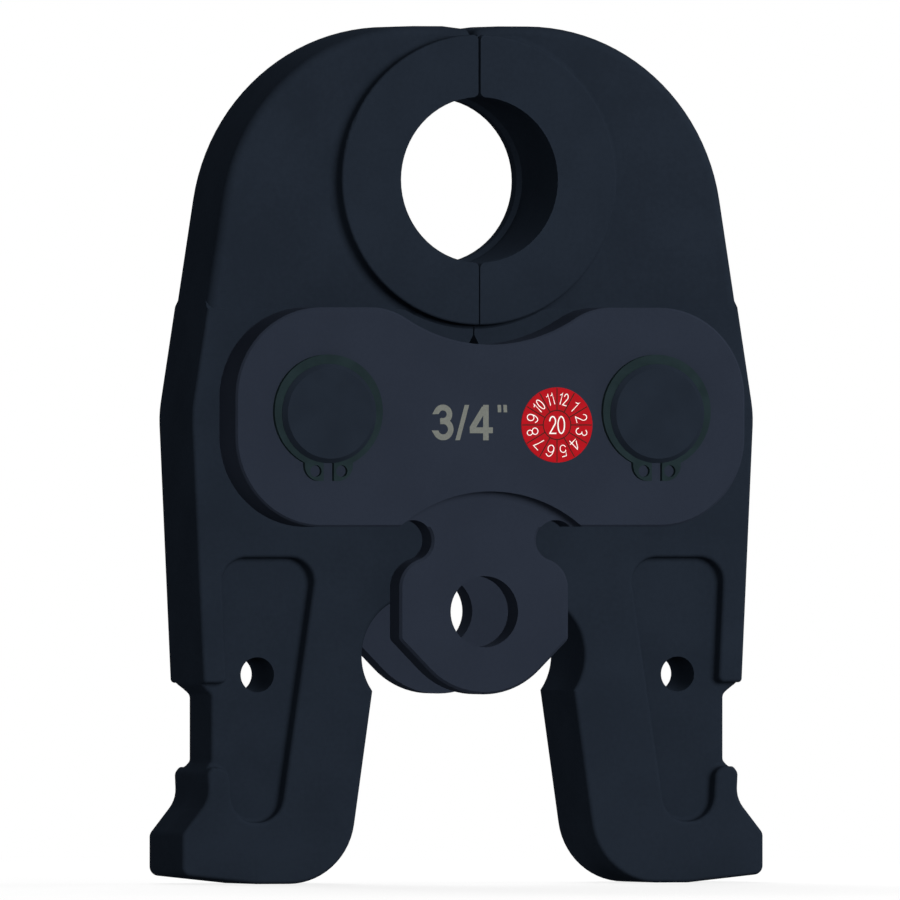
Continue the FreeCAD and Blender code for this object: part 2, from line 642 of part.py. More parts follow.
def retaining_ring():
    """The right pin's front ring: thick at the top, with two drilled lugs at the bottom."""
    outer = RING_BORE_RADIUS + RING_WALL
    y_low = -RING_INNER - RING_THICKNESS
    y_high = -RING_INNER
    shape = disc(outer, PIN_HALF_SPAN, PIN_HEIGHT + RING_OFFSET, y_low, y_high)
    lugs = slab([
        (PIN_HALF_SPAN - LUG_HALF_WIDTH, PIN_HEIGHT, 0),
        (PIN_HALF_SPAN + LUG_HALF_WIDTH, PIN_HEIGHT, 0),
        (PIN_HALF_SPAN + LUG_HALF_WIDTH, PIN_HEIGHT - LUG_DROP, LUG_CORNER_RADIUS),
        (PIN_HALF_SPAN - LUG_HALF_WIDTH, PIN_HEIGHT - LUG_DROP, LUG_CORNER_RADIUS),
    ], y_low, y_high)
    tools = [disc(RING_BORE_RADIUS, PIN_HALF_SPAN, PIN_HEIGHT, y_low, y_high)]
    corner = at(PIN_HALF_SPAN - RING_GAP / 2, y_low, PIN_HEIGHT - LUG_DROP)
    tools.append(Part.makeBox(RING_GAP, RING_THICKNESS, LUG_DROP, corner))
    for side in (-1, 1):
        x = PIN_HALF_SPAN + side * LUG_HOLE_X
        z = PIN_HEIGHT - LUG_DROP + LUG_END_WALL
        tools.append(disc(LUG_HOLE_RADIUS, x, z, y_low, y_high))
    return shape.fuse(lugs).cut(tools)


def sticker():
    """The round inspection sticker on the front plate's bar."""
    x = PIN_HALF_SPAN - STICKER_FROM_PIN
    z = PIN_HEIGHT - STICKER_BELOW_PIN
    return disc(STICKER_RADIUS, x, z, -BAR_OUTER - STICKER_THICKNESS, -BAR_OUTER)


def mirrored_x(shape):
    """The copy of a shape across the middle plane between the arms."""
    return shape.mirror(at(0, 0, 0), at(1, 0, 0))


def build():
    """Every piece by its node's name."""
    right_arm = arm()
    front_plate = plate()
    right_pin = pivot_pin()
    ring = retaining_ring()
    return {
        "right_arm": right_arm,
        "left_arm": turned_half(right_arm),
        "front_plate": front_plate,
        "rear_plate": mirrored_y(front_plate),
        "right_pivot_pin": right_pin,
        "left_pivot_pin": mirrored_x(right_pin),
        "front_right_ring": ring,
        "front_left_ring": mirrored_x(ring),
        "rear_right_ring": mirrored_y(ring),
        "rear_left_ring": mirrored_y(mirrored_x(ring)),
        "closing_spring": closing_spring(),
        "inspection_sticker": sticker(),
    }


os.makedirs("parts", exist_ok=True)
for name, shape in build().items():
    shape.Solids[0].exportStep("parts/" + name + ".step")
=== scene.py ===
import json
import math

import bmesh
import bpy
from mathutils import Matrix, Vector

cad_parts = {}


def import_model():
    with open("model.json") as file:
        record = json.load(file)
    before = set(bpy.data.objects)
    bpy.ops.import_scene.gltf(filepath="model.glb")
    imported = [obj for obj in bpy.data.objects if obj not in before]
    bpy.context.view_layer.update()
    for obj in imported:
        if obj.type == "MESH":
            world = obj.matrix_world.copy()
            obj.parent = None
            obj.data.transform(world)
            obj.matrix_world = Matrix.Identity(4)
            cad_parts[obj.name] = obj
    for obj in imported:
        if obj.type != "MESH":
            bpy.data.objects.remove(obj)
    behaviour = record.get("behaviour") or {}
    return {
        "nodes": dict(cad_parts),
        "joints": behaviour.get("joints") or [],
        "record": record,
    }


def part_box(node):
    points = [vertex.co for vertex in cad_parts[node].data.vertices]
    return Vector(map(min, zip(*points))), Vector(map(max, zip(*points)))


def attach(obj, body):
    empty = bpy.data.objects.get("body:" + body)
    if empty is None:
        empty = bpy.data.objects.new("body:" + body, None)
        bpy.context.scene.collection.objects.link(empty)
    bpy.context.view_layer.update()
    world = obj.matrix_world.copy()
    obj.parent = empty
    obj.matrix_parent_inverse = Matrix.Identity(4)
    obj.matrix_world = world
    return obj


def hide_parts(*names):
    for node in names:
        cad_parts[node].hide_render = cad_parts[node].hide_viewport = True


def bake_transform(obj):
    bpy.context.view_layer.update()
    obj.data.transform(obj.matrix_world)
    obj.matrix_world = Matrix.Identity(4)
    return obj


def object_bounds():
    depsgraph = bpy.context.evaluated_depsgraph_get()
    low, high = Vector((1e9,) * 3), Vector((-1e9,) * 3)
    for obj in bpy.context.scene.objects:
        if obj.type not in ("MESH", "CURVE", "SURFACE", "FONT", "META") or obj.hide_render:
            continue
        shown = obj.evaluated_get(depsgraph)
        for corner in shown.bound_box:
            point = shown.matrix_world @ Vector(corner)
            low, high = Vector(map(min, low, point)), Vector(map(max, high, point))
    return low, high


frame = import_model()
CAD_LOW, CAD_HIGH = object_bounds()

MM = 0.001
MICRON = 0.001 * MM
QUARTER_TURN = math.radians(90)
FULL_TURN = 2 * math.pi

# Camera: level, turned to the jaw's left side, and so far off that the view is nearly parallel
VIEW_TURN = math.radians(-18.9)
VIEW_WIDTH = 181.8 * MM
LENS_LENGTH = 1500.0
SENSOR_WIDTH = 36.0
FOCUS_FORWARD = 12.0 * MM
AIM_ASIDE = -1.313 * MM
AIM_HEIGHT = 32.65 * MM
CLIP_START = 0.1
CLIP_END = 30.0

# Lamps: the way to each from the jaw's middle, its width in metres, how bright it makes a white
# face square to it, and whether it casts a shadow
LAMPS = {
    "key_lamp": ((0.34, -0.86, 0.38), 0.5, 0.95, False),
    "fill_lamp": ((-0.86, -0.32, 0.40), 0.5, 0.155, False),
    "side_lamp": ((0.93, 0.12, 0.34), 0.7, 0.30, True),
    "back_lamp": ((0.12, 0.88, 0.44), 0.8, 0.90, True),
}
LAMP_DISTANCE = 1.3
AMBIENT = 0.05
WHITE = (1.0, 1.0, 1.0, 1.0)

# Floor: a pale disc that fades into the white background
FLOOR_RADIUS = 0.50
FLOOR_FADE_START = 0.14
FLOOR_FADE_END = 0.44
FLOOR_COLOUR = (0.34, 0.34, 0.34, 1.0)
FLOOR_GLOW = 0.68
FLOOR_SEGMENTS = 96

# Colours, as sRGB values from 0 to 255
ARM_COLOUR = (33, 40, 50)
PLATE_COLOUR = (42, 48, 60)
PIN_COLOUR = (34, 41, 51)
RING_COLOUR = (34, 46, 49)
SPRING_COLOUR = (96, 98, 102)
MARK_COLOUR = (114, 117, 111)
STICKER_COLOUR = (177, 16, 27)
STICKER_LINE_COLOUR = (72, 20, 16)
STICKER_NUMBER_COLOUR = (255, 250, 244)

# Noise between these two values counts as its whole range, and finer noise has more detail
NOISE_LOW = 0.3
NOISE_HIGH = 0.7
SOFT_DETAIL = 2.0
FINE_DETAIL = 3.0

# A face is a wall while its normal leans along Y by up to the first share, and a broad face
# from the second share on
WALL_LEAN = 0.75
FACE_LEAN = 0.97

# Forged arms: mottled tone, blasted grain, a forging skin that is deeper on the walls, and
# turning marks in the bore and on its lips
ARM_CLOUDS = 14 * MM
ARM_SPECKS = 0.9 * MM
ARM_CLOUD_SHARE = 0.6
ARM_TONE_CHANGE = 0.09
ARM_ROUGHNESS = (0.46, 0.58)
ARM_GRAIN = 0.34 * MM
ARM_GRAIN_DEPTH = 5 * MICRON
ARM_SKIN = 4.5 * MM
ARM_SKIN_DEPTH = 8 * MICRON
ARM_SKIN_EXTRA_ON_WALLS = 26 * MICRON
BORE_MARK_PITCH = 0.32 * MM
BORE_MARK_DEPTH = 3 * MICRON
BORE_MARK_END = 1.0 * MM
BORE_MARK_FADE = 0.4 * MM

# Plates: mottled tone, blasted grain, and cutting lines across the cut edges
PLATE_CLOUDS = 18 * MM
PLATE_SPECKS = 0.7 * MM
PLATE_CLOUD_SHARE = 0.65
PLATE_TONE_CHANGE = 0.06
PLATE_ROUGHNESS = (0.44, 0.54)
PLATE_GRAIN = 0.26 * MM
PLATE_GRAIN_DEPTH = 3.5 * MICRON
PLATE_CUTS = 0.4 * MM
PLATE_CUT_STRETCH = (1.0, 22.0, 1.0)
PLATE_CUT_DEPTH = 9 * MICRON

# Pins: mottled tone, fine grain and turning marks
PIN_CLOUDS = 8 * MM
PIN_TONE_CHANGE = 0.07
PIN_ROUGHNESS = (0.42, 0.52)
PIN_GRAIN = 0.22 * MM
PIN_GRAIN_DEPTH = 2.5 * MICRON
PIN_MARK_PITCH = 0.3 * MM
PIN_MARK_DEPTH = 1.5 * MICRON

# Retaining rings: a phosphated skin
RING_CLOUDS = 3.5 * MM
RING_TONE_CHANGE = 0.10
RING_ROUGHNESS = 0.5
RING_CRYSTALS = 0.16 * MM
RING_CRYSTAL_DEPTH = 3 * MICRON

# Spring wire: drawing lines along its length, and a dulled metal sheen
SPRING_LINES = 0.12 * MM
SPRING_LINE_STRETCH = (60.0, 1.0, 1.0)
SPRING_LINE_DEPTH = 3 * MICRON
SPRING_CLOUDS = 6 * MM
SPRING_TONE_CHANGE = 0.15
SPRING_ROUGHNESS = (0.28, 0.42)
SPRING_METAL = 0.75
SPRING_GLOSS = 0.5

# Sticker's film and the inks
FILM_CLOUDS = 2.2 * MM
FILM_TONE_CHANGE = 0.05
FILM_ROUGHNESS = 0.38
FILM_GLOSS = 0.03
FILM_GRAIN_DEPTH = 5 * MICRON
INK_SPOTS = 0.25 * MM
INK_TONE_CHANGE = 0.04
MARK_TONE_CHANGE = 0.08
INK_ROUGHNESS = 0.55
INK_GLOSS = 0.08

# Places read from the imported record
JOINTS = {joint["name"]: Vector(joint["pos_m"]) for joint in frame["joints"]}
MOUNTS = {mount["name"]: mount for mount in frame["record"]["mounts"]}
PIVOT = JOINTS["right_arm_pivot"]
BORE_HEIGHT = MOUNTS["press_bore"]["pos_m"][2]
BORE_RADIUS = MOUNTS["press_bore"]["dims"]["r_mm"] * MM

# Closing spring, the same path as its solid
WIRE_RADIUS = 0.9 * MM
COIL_RADIUS = 3.6 * MM
COIL_TURNS = 5
TURN_GAP = 0.3 * MM
COIL_PITCH = 2 * WIRE_RADIUS + TURN_GAP
COIL_RISE = 3.5 * MM
LEG_DROP = 19.0 * MM
LEG_SPREAD = 4.2 * MM
LEG_LEAN = math.atan(LEG_SPREAD / LEG_DROP)
LEG_BEND_RADIUS = 2.4 * MM
LEG_TIP_X = 13.0 * MM
WIRE_SIDES = 16
TURN_STEPS = 28
BEND_STEPS = 8

# Sticker: a printed disc with a ring of numbers
STICKER_EDGE = 0.05 * MM
STICKER_SEGMENTS = 128
STICKER_MERGE_DISTANCE = 0.005 * MM
STICKER_HOURS = 12
STICKER_HUB_RADIUS = 2.95 * MM
STICKER_LINE_WIDTH = 0.24 * MM
STICKER_LINE_THICKNESS = 0.006 * MM
STICKER_NUMBER_HEIGHT = 2.5 * MM
STICKER_NUMBER_STROKE = 0.18 * MM
STICKER_NUMBER_RADIUS = 5.4 * MM
STICKER_NUMBER_THICKNESS = 0.012 * MM
STICKER_DOUBLE_WIDTH = 0.68
STICKER_NUMBER_GAP = 0.18
STICKER_CENTRE_HEIGHT = 3.65 * MM
STICKER_CENTRE_STROKE = 0.27 * MM
STICKER_CENTRE_WIDTH = 0.73
STICKER_CENTRE_GAP = 0.13
STICKER_CENTRE_TEXT = "20"

# Size mark on the front plate's bar: each sign's middle, height and stroke
MARK_HEIGHT = 7.15 * MM
MARK_STROKE = 1.18 * MM
MARK_TOP = 41.76 * MM
MARK_THICKNESS = 0.02 * MM
MARK_SIGNS = {
    "3": (-10.27 * MM, MARK_HEIGHT, MARK_STROKE),
    "/": (-6.17 * MM, MARK_HEIGHT, 0.92 * MM),
    "4": (-2.11 * MM, MARK_HEIGHT, MARK_STROKE),
    "''": (2.35 * MM, 1.5 * MM, 0.74 * MM),
}

# Strokes of the signs. One that rises by more than the level cut's share is cut level at its
# ends. A mitre reaches up to its limit of half widths. Each later stroke of a sign is thicker by
# the rise's share, so that no two tops lie in one plane. Ends closer than the joined share of the
# sign's height are one point. A bow takes this many degrees a step
LEVEL_CUT = 0.7
MITRE_LIMIT = 2.2
STROKE_RISE = 0.1
JOINED_SHARE = 0.01
BOW_STEP = 12
BOW_LEAST_STEPS = 4


def shade(colour):
    """A linear colour from sRGB values of 0 to 255."""
    linear = []
    for value in colour:
        share = value / 255
        linear.append(share / 12.92 if share <= 0.04045 else ((share + 0.055) / 1.055) ** 2.4)
    return (*linear, 1.0)


def new_object(name, data):
    """A new object of that mesh, lamp or camera, in the scene."""
    thing = bpy.data.objects.new(name, data)
    bpy.context.scene.collection.objects.link(thing)
    return thing


# Shader helpers

def material_tree(name, gloss=0.0):
    """A new material with that much mirror-like gloss, its node tree and its main shader."""
    material = bpy.data.materials.new(name)
    material.use_nodes = True
    tree = material.node_tree
    shader = tree.nodes["Principled BSDF"]
    shader.inputs["Specular IOR Level"].default_value = gloss
    return material, tree, shader


def feed(tree, socket, value):
    """Links a socket to another node's output, or sets it to a plain value."""
    if isinstance(value, bpy.types.NodeSocket):
        tree.links.new(value, socket)
    else:
        socket.default_value = value


def calculate(tree, operation, first, second=0.0, third=0.0):
    """One step of arithmetic on values or outputs."""
    node = tree.nodes.new("ShaderNodeMath")
    node.operation = operation
    for socket, value in zip(node.inputs, (first, second, third)):
        feed(tree, socket, value)
    return node.outputs[0]


def product(tree, first, *others):
    """Several values or outputs multiplied."""
    for other in others:
        first = calculate(tree, "MULTIPLY", first, other)
    return first


def distance(tree, aside, above):
    """The length of a vector from its two parts."""
    square = calculate(tree, "ADD", product(tree, aside, aside), product(tree, above, above))
    return calculate(tree, "SQRT", square)


def object_point(tree):
    """The shaded point in the object's own frame, in metres."""
    return tree.nodes.new("ShaderNodeTexCoord").outputs["Object"]


def axes_of(tree, vector):
    """The three parts of a vector."""
    node = tree.nodes.new("ShaderNodeSeparateXYZ")
    feed(tree, node.inputs[0], vector)
    return node.outputs[0], node.outputs[1], node.outputs[2]


def noise(tree, point, size, detail=SOFT_DETAIL, stretch=(1.0, 1.0, 1.0)):
    """Soft random lumps about that many metres across, from 0 to 1; stretch makes them longer."""
    mapping = tree.nodes.new("ShaderNodeMapping")
    mapping.inputs["Scale"].default_value = [1.0 / (size * share) for share in stretch]
    feed(tree, mapping.inputs["Vector"], point)
    texture = tree.nodes.new("ShaderNodeTexNoise")
    texture.inputs["Scale"].default_value = 1.0
    texture.inputs["Detail"].default_value = detail
    feed(tree, texture.inputs["Vector"], mapping.outputs["Vector"])
    return texture.outputs["Fac"]


def stretched(tree, value, low, high, new_low=0.0, new_high=1.0):
    """A value's range from low to high turned smoothly into a new range."""
    node = tree.nodes.new("ShaderNodeMapRange")
    node.interpolation_type = "SMOOTHSTEP"
    for socket, number in zip(node.inputs, (value, low, high, new_low, new_high)):
        feed(tree, socket, number)
    return node.outputs["Result"]


def ranged(tree, lumps, low, high):
    """Noise turned into values from low to high."""
    return stretched(tree, lumps, NOISE_LOW, NOISE_HIGH, low, high)


def mottled(tree, clouds, specks, cloud_share):
    """Two noises added by their shares."""
    return calculate(tree, "ADD", product(tree, clouds, cloud_share),
                     product(tree, specks, 1 - cloud_share))


def paint(tree, shader, colour, lumps, amount):
    """Gives the shader an sRGB colour that noise makes darker and lighter by an amount."""
    linear = shade(colour)
    node = tree.nodes.new("ShaderNodeMix")
    node.data_type = "RGBA"
    feed(tree, node.inputs["Factor"], ranged(tree, lumps, 0.0, 1.0))
    ends = [socket for socket in node.inputs if socket.type == "RGBA"]
    for socket, change in zip(ends, (1 - amount, 1 + amount)):
        socket.default_value = (*[part * change for part in linear[:3]], 1.0)
    result = [socket for socket in node.outputs if socket.type == "RGBA"][0]
    feed(tree, shader.inputs["Base Color"], result)


def add_relief(tree, shader, heights):
    """Bump from several heights in metres."""
    total = heights[0]
    for height in heights[1:]:
        total = calculate(tree, "ADD", total, height)
    bump = tree.nodes.new("ShaderNodeBump")
    bump.inputs["Strength"].default_value = 1.0
    bump.inputs["Distance"].default_value = 1.0
    feed(tree, bump.inputs["Height"], total)
    feed(tree, shader.inputs["Normal"], bump.outputs["Normal"])


def wall_share(tree):
    """1 on the walls and edges that run along Y, and 0 on the broad faces that look along Y."""
    normal = tree.nodes.new("ShaderNodeNewGeometry").outputs["Normal"]
    lean = calculate(tree, "ABSOLUTE", axes_of(tree, normal)[1])
    return stretched(tree, lean, WALL_LEAN, FACE_LEAN, 1.0, 0.0)


def waves(tree, along, pitch, depth):
    """Even turning marks with that pitch and depth."""
    turn = product(tree, along, FULL_TURN / pitch)
    return product(tree, calculate(tree, "SINE", turn), depth / 2)


# Materials

def arm_steel():
    """Blackened forging: a soft blasted grain over a forging skin, and marks where it is turned."""
    material, tree, shader = material_tree("arm_steel_finish")
    point = object_point(tree)
    clouds = noise(tree, point, ARM_CLOUDS, FINE_DETAIL)
    specks = noise(tree, point, ARM_SPECKS, FINE_DETAIL)
    paint(tree, shader, ARM_COLOUR, mottled(tree, clouds, specks, ARM_CLOUD_SHARE), ARM_TONE_CHANGE)
    feed(tree, shader.inputs["Roughness"], ranged(tree, clouds, *ARM_ROUGHNESS))

    x, y, z = axes_of(tree, point)
    radius = distance(tree, x, calculate(tree, "SUBTRACT", z, BORE_HEIGHT))
    mark_end = BORE_RADIUS + BORE_MARK_END
    turned = stretched(tree, radius, mark_end, mark_end + BORE_MARK_FADE, 1.0, 0.0)
    forged = calculate(tree, "SUBTRACT", 1.0, turned)
    skin_depth = calculate(tree, "MULTIPLY_ADD", wall_share(tree), ARM_SKIN_EXTRA_ON_WALLS,
                           ARM_SKIN_DEPTH)
    add_relief(tree, shader, [
        product(tree, noise(tree, point, ARM_GRAIN), forged, ARM_GRAIN_DEPTH),
        product(tree, noise(tree, point, ARM_SKIN), forged, skin_depth),
        product(tree, waves(tree, y, BORE_MARK_PITCH, BORE_MARK_DEPTH), turned),
    ])
    return material


def plate_steel():
    """Blackened plate: finely blasted faces, and fine cutting lines across the cut edges."""
    material, tree, shader = material_tree("plate_steel_finish")
    point = object_point(tree)
    clouds = noise(tree, point, PLATE_CLOUDS, FINE_DETAIL)
    specks = noise(tree, point, PLATE_SPECKS)
    paint(tree, shader, PLATE_COLOUR, mottled(tree, clouds, specks, PLATE_CLOUD_SHARE),
          PLATE_TONE_CHANGE)
    feed(tree, shader.inputs["Roughness"], ranged(tree, clouds, *PLATE_ROUGHNESS))

    cuts = noise(tree, point, PLATE_CUTS, stretch=PLATE_CUT_STRETCH)
    add_relief(tree, shader, [
        product(tree, noise(tree, point, PLATE_GRAIN), PLATE_GRAIN_DEPTH),
        product(tree, cuts, wall_share(tree), PLATE_CUT_DEPTH),
    ])
    return material


def pin_steel():
    """Blackened steel turned about the pins' axes, with faint rings on its end faces."""
    material, tree, shader = material_tree("pin_steel_finish")
    point = object_point(tree)
    clouds = noise(tree, point, PIN_CLOUDS, FINE_DETAIL)
    paint(tree, shader, PIN_COLOUR, clouds, PIN_TONE_CHANGE)
    feed(tree, shader.inputs["Roughness"], ranged(tree, clouds, *PIN_ROUGHNESS))

    x, y, z = axes_of(tree, point)
    aside = calculate(tree, "SUBTRACT", calculate(tree, "ABSOLUTE", x), PIVOT.x)
    above = calculate(tree, "SUBTRACT", z, PIVOT.z)
    radius = distance(tree, aside, above)
    walls = wall_share(tree)
    faces = calculate(tree, "SUBTRACT", 1.0, walls)
    add_relief(tree, shader, [
        product(tree, noise(tree, point, PIN_GRAIN), PIN_GRAIN_DEPTH),
        product(tree, waves(tree, radius, PIN_MARK_PITCH, PIN_MARK_DEPTH), faces),
        product(tree, waves(tree, y, PIN_MARK_PITCH, PIN_MARK_DEPTH), walls),
    ])
    return material


def ring_steel():
    """Phosphated spring steel, stamped, with a fine crystalline skin."""
    material, tree, shader = material_tree("ring_steel_finish")
    point = object_point(tree)
    clouds = noise(tree, point, RING_CLOUDS, FINE_DETAIL)
    crystals = noise(tree, point, RING_CRYSTALS, FINE_DETAIL)
    paint(tree, shader, RING_COLOUR, clouds, RING_TONE_CHANGE)
    shader.inputs["Roughness"].default_value = RING_ROUGHNESS
    add_relief(tree, shader, [product(tree, crystals, RING_CRYSTAL_DEPTH)])
    return material


def spring_steel():
    """Drawn spring wire, with fine lines along its length."""
    material, tree, shader = material_tree("spring_steel_finish", SPRING_GLOSS)
    layout = tree.nodes.new("ShaderNodeUVMap").outputs["UV"]
    lines = noise(tree, layout, SPRING_LINES, stretch=SPRING_LINE_STRETCH)
    clouds = noise(tree, object_point(tree), SPRING_CLOUDS)
    paint(tree, shader, SPRING_COLOUR, clouds, SPRING_TONE_CHANGE)
    shader.inputs["Metallic"].default_value = SPRING_METAL
    feed(tree, shader.inputs["Roughness"], ranged(tree, lines, *SPRING_ROUGHNESS))
    add_relief(tree, shader, [product(tree, lines, SPRING_LINE_DEPTH)])
    return material


def sticker_film():
    """Red film with a faint print grain and a weak gloss."""
    material, tree, shader = material_tree("sticker_film_finish", FILM_GLOSS)
    clouds = noise(tree, object_point(tree), FILM_CLOUDS, FINE_DETAIL)
    paint(tree, shader, STICKER_COLOUR, clouds, FILM_TONE_CHANGE)
    shader.inputs["Roughness"].default_value = FILM_ROUGHNESS
    add_relief(tree, shader, [product(tree, clouds, FILM_GRAIN_DEPTH)])
    return material


def ink(name, colour, tone_change=INK_TONE_CHANGE):
    """Printed colour, slightly uneven."""
    material, tree, shader = material_tree(name, INK_GLOSS)
    paint(tree, shader, colour, noise(tree, object_point(tree), INK_SPOTS), tone_change)
    shader.inputs["Roughness"].default_value = INK_ROUGHNESS
    return material


# Signs, each with its width and its strokes in a box of height 1

def bow(centre_x, centre_y, radius_x, radius_y, start, end):
    """Points on an oval, from one angle to another in degrees, anticlockwise where end is larger."""
    steps = max(BOW_LEAST_STEPS, round(abs(end - start) / BOW_STEP))
    points = []
    for step in range(steps + 1):
        angle = math.radians(start + (end - start) * step / steps)
        points.append((centre_x + radius_x * math.cos(angle), centre_y + radius_y * math.sin(angle)))
    return points


def turned_sign(width, strokes):
    """A sign turned half round in its box."""
    return width, [[(width - x, 1 - y) for x, y in stroke] for stroke in strokes]


SIX = (0.56, [
    bow(0.28, 0.31, 0.27, 0.31, 180, -180),
    bow(0.35, 0.42, 0.34, 0.58, 195, 48),
])
SIGNS = {
    "0": (0.56, [
        bow(0.28, 0.5, 0.28, 0.5, 90, -270),
    ]),
    "1": (0.30, [
        [(0.02, 0.78), (0.17, 0.83), (0.26, 0.98), (0.26, 0.0)],
    ]),
    "2": (0.54, [
        bow(0.27, 0.72, 0.25, 0.28, 172, -38) + [(0.03, 0.0), (0.54, 0.0)],
    ]),
    "3": (0.55, [
        bow(0.27, 0.78, 0.235, 0.23, 157, -90),
        bow(0.28, 0.275, 0.27, 0.275, 90, -153),
    ]),
    "4": (0.63, [
        [(0.48, 0.0), (0.48, 1.0)],
        [(0.0, 0.24), (0.63, 0.24)],
        [(0.40, 0.955), (0.058, 0.417)],
    ]),
    "5": (0.54, [
        [(0.49, 0.98), (0.12, 0.98), (0.06, 0.50)] + bow(0.27, 0.32, 0.27, 0.32, 140, -158),
    ]),
    "6": SIX,
    "7": (0.54, [
        [(0.0, 0.97), (0.54, 0.97), (0.34, 0.52), (0.19, 0.0)],
    ]),
    "8": (0.56, [
        bow(0.28, 0.76, 0.22, 0.24, 270, -90),
        bow(0.28, 0.26, 0.28, 0.26, 90, -270),
    ]),
    "9": turned_sign(*SIX),
    "/": (0.28, [
        [(0.0, 0.0), (0.28, 1.0)],
    ]),
    "''": (1.64, [
        [(0.02, 1.0), (0.06, 0.0)],
        [(1.64, 1.0), (1.68, 0.0)],
    ]),
}


def end_offset(way, width):
    """Half a ribbon's width at its end, which is cut level where it is steep and square elsewhere."""
    if abs(way.y) > LEVEL_CUT:
        return Vector((-width / (2 * way.y), 0.0))
    return Vector((-way.y, way.x)) * (width / 2)


def ribbon_offsets(points, width, closed):
    """Half the ribbon's width at each point, mitred where it turns."""
    ways = [(after - before).normalized() for before, after in zip(points, points[1:])]
    if closed:
        closing = (points[0] - points[-1]).normalized()
        ways = [closing, *ways, closing]
    else:
        ways = [ways[0], *ways, ways[-1]]
    offsets = []
    for index, (back, ahead) in enumerate(zip(ways, ways[1:])):
        middle = (back + ahead).normalized()
        if not closed and index in (0, len(points) - 1):
            offsets.append(end_offset(middle, width))
        else:
            stretch = 1 / max(middle.dot(ahead), 1 / MITRE_LIMIT)
            offsets.append(Vector((-middle.y, middle.x)) * (width / 2 * stretch))
    return offsets


def ribbon(mesh, points, width, height, closed):
    """Adds a flat ribbon of that width and height along points in the plane.

    An open ribbon goes past its first and last points by half its width.
    """
    if closed:
        points = points[:-1]
    else:
        first = points[0] + (points[0] - points[1]).normalized() * (width / 2)
        last = points[-1] + (points[-1] - points[-2]).normalized() * (width / 2)
        points = [first, *points[1:-1], last]
    rows = []
    for point, offset in zip(points, ribbon_offsets(points, width, closed)):
        rows.append([mesh.verts.new((corner.x, corner.y, level))
                     for level in (0.0, height) for corner in (point + offset, point - offset)])
    following = rows[1:] + rows[:1] if closed else rows[1:]
    for near, far in zip(rows, following):
        for first, second in ((3, 2), (2, 0), (0, 1), (1, 3)):
            mesh.faces.new((near[first], near[second], far[second], far[first]))
    if not closed:
        mesh.faces.new([rows[0][corner] for corner in (0, 2, 3, 1)])
        mesh.faces.new([rows[-1][corner] for corner in (0, 1, 3, 2)])


def write(mesh, signs, height, stroke, thickness, place, narrow=1.0, gap=0.0):
    """Adds signs side by side, centred on the origin, and moves them by a matrix.

    Narrow multiplies the signs' widths, and the gap between two of them is a share of the height.
    """
    drawn_height = height - stroke
    widths = [SIGNS[sign][0] * drawn_height * narrow for sign in signs]
    left = -(sum(widths) + gap * height * (len(signs) - 1)) / 2
    for sign, width in zip(signs, widths):
        for layer, sign_stroke in enumerate(SIGNS[sign][1]):
            start = len(mesh.verts)
            points = [Vector((left + x * drawn_height * narrow, (y - 0.5) * drawn_height))
                      for x, y in sign_stroke]
            closed = (points[0] - points[-1]).length < JOINED_SHARE * height
            ribbon(mesh, points, stroke, thickness * (1 + STROKE_RISE * layer), closed)
            mesh.verts.ensure_lookup_table()
            bmesh.ops.transform(mesh, matrix=place, verts=mesh.verts[start:])
        left += width + gap * height


def facing_front(x, y, z, turn=0.0):
    """The matrix that stands a drawing up at a place on a front face, turned clockwise."""
    upright = Matrix.Rotation(QUARTER_TURN, 4, "X")
    return Matrix.Translation((x, y, z)) @ upright @ Matrix.Rotation(-turn, 4, "Z")


def finished(name, mesh, material):
    """The drawn mesh as a piece of the jaw, with its material and slot."""
    data = bpy.data.meshes.new(name)
    bmesh.ops.recalc_face_normals(mesh, faces=mesh.faces)
    mesh.to_mesh(data)
    mesh.free()
    piece = new_object(name, data)
    data.materials.append(material)
    return piece


# Pieces

def sticker_disc(middle, radius, front, back):
    """The sticker's film, with a fine chamfer round its front edge."""
    profile = [
        (0.0, front),
        (radius - STICKER_EDGE, front),
        (radius, front + STICKER_EDGE),
        (radius, back),
    ]
    mesh = bmesh.new()
    corners = [mesh.verts.new((middle.x + r, y, middle.z)) for r, y in profile]
    edges = [mesh.edges.new(pair) for pair in zip(corners, corners[1:])]
    bmesh.ops.spin(mesh, geom=corners + edges, cent=(middle.x, 0, middle.z), axis=(0, 1, 0),
                   angle=FULL_TURN, steps=STICKER_SEGMENTS, use_merge=True)
    bmesh.ops.remove_doubles(mesh, verts=mesh.verts, dist=STICKER_MERGE_DISTANCE)
    rim = [edge for edge in mesh.edges if edge.is_boundary]
    bmesh.ops.contextual_create(mesh, geom=rim)
    film = finished("sticker_disc", mesh, sticker_film())
    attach(film, "plates")
    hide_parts("inspection_sticker")


def sticker_lines(middle, radius, front):
    """The dark ring round the centre number, and the lines between the hours."""
    mesh = bmesh.new()
    ring = [Vector(point) for point in bow(0, 0, STICKER_HUB_RADIUS, STICKER_HUB_RADIUS, 0, 360)]
    ribbon(mesh, ring, STICKER_LINE_WIDTH, STICKER_LINE_THICKNESS, True)
    reach = radius - STICKER_EDGE - STICKER_LINE_WIDTH
    for hour in range(STICKER_HOURS):
        turn = FULL_TURN * hour / STICKER_HOURS
        way = Vector((math.sin(turn), math.cos(turn)))
        ribbon(mesh, [way * STICKER_HUB_RADIUS, way * reach], STICKER_LINE_WIDTH,
               STICKER_LINE_THICKNESS, False)
    mesh.transform(facing_front(middle.x, front, middle.z))
    lines = finished("sticker_lines", mesh, ink("sticker_line_ink", STICKER_LINE_COLOUR))
    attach(lines, "plates")


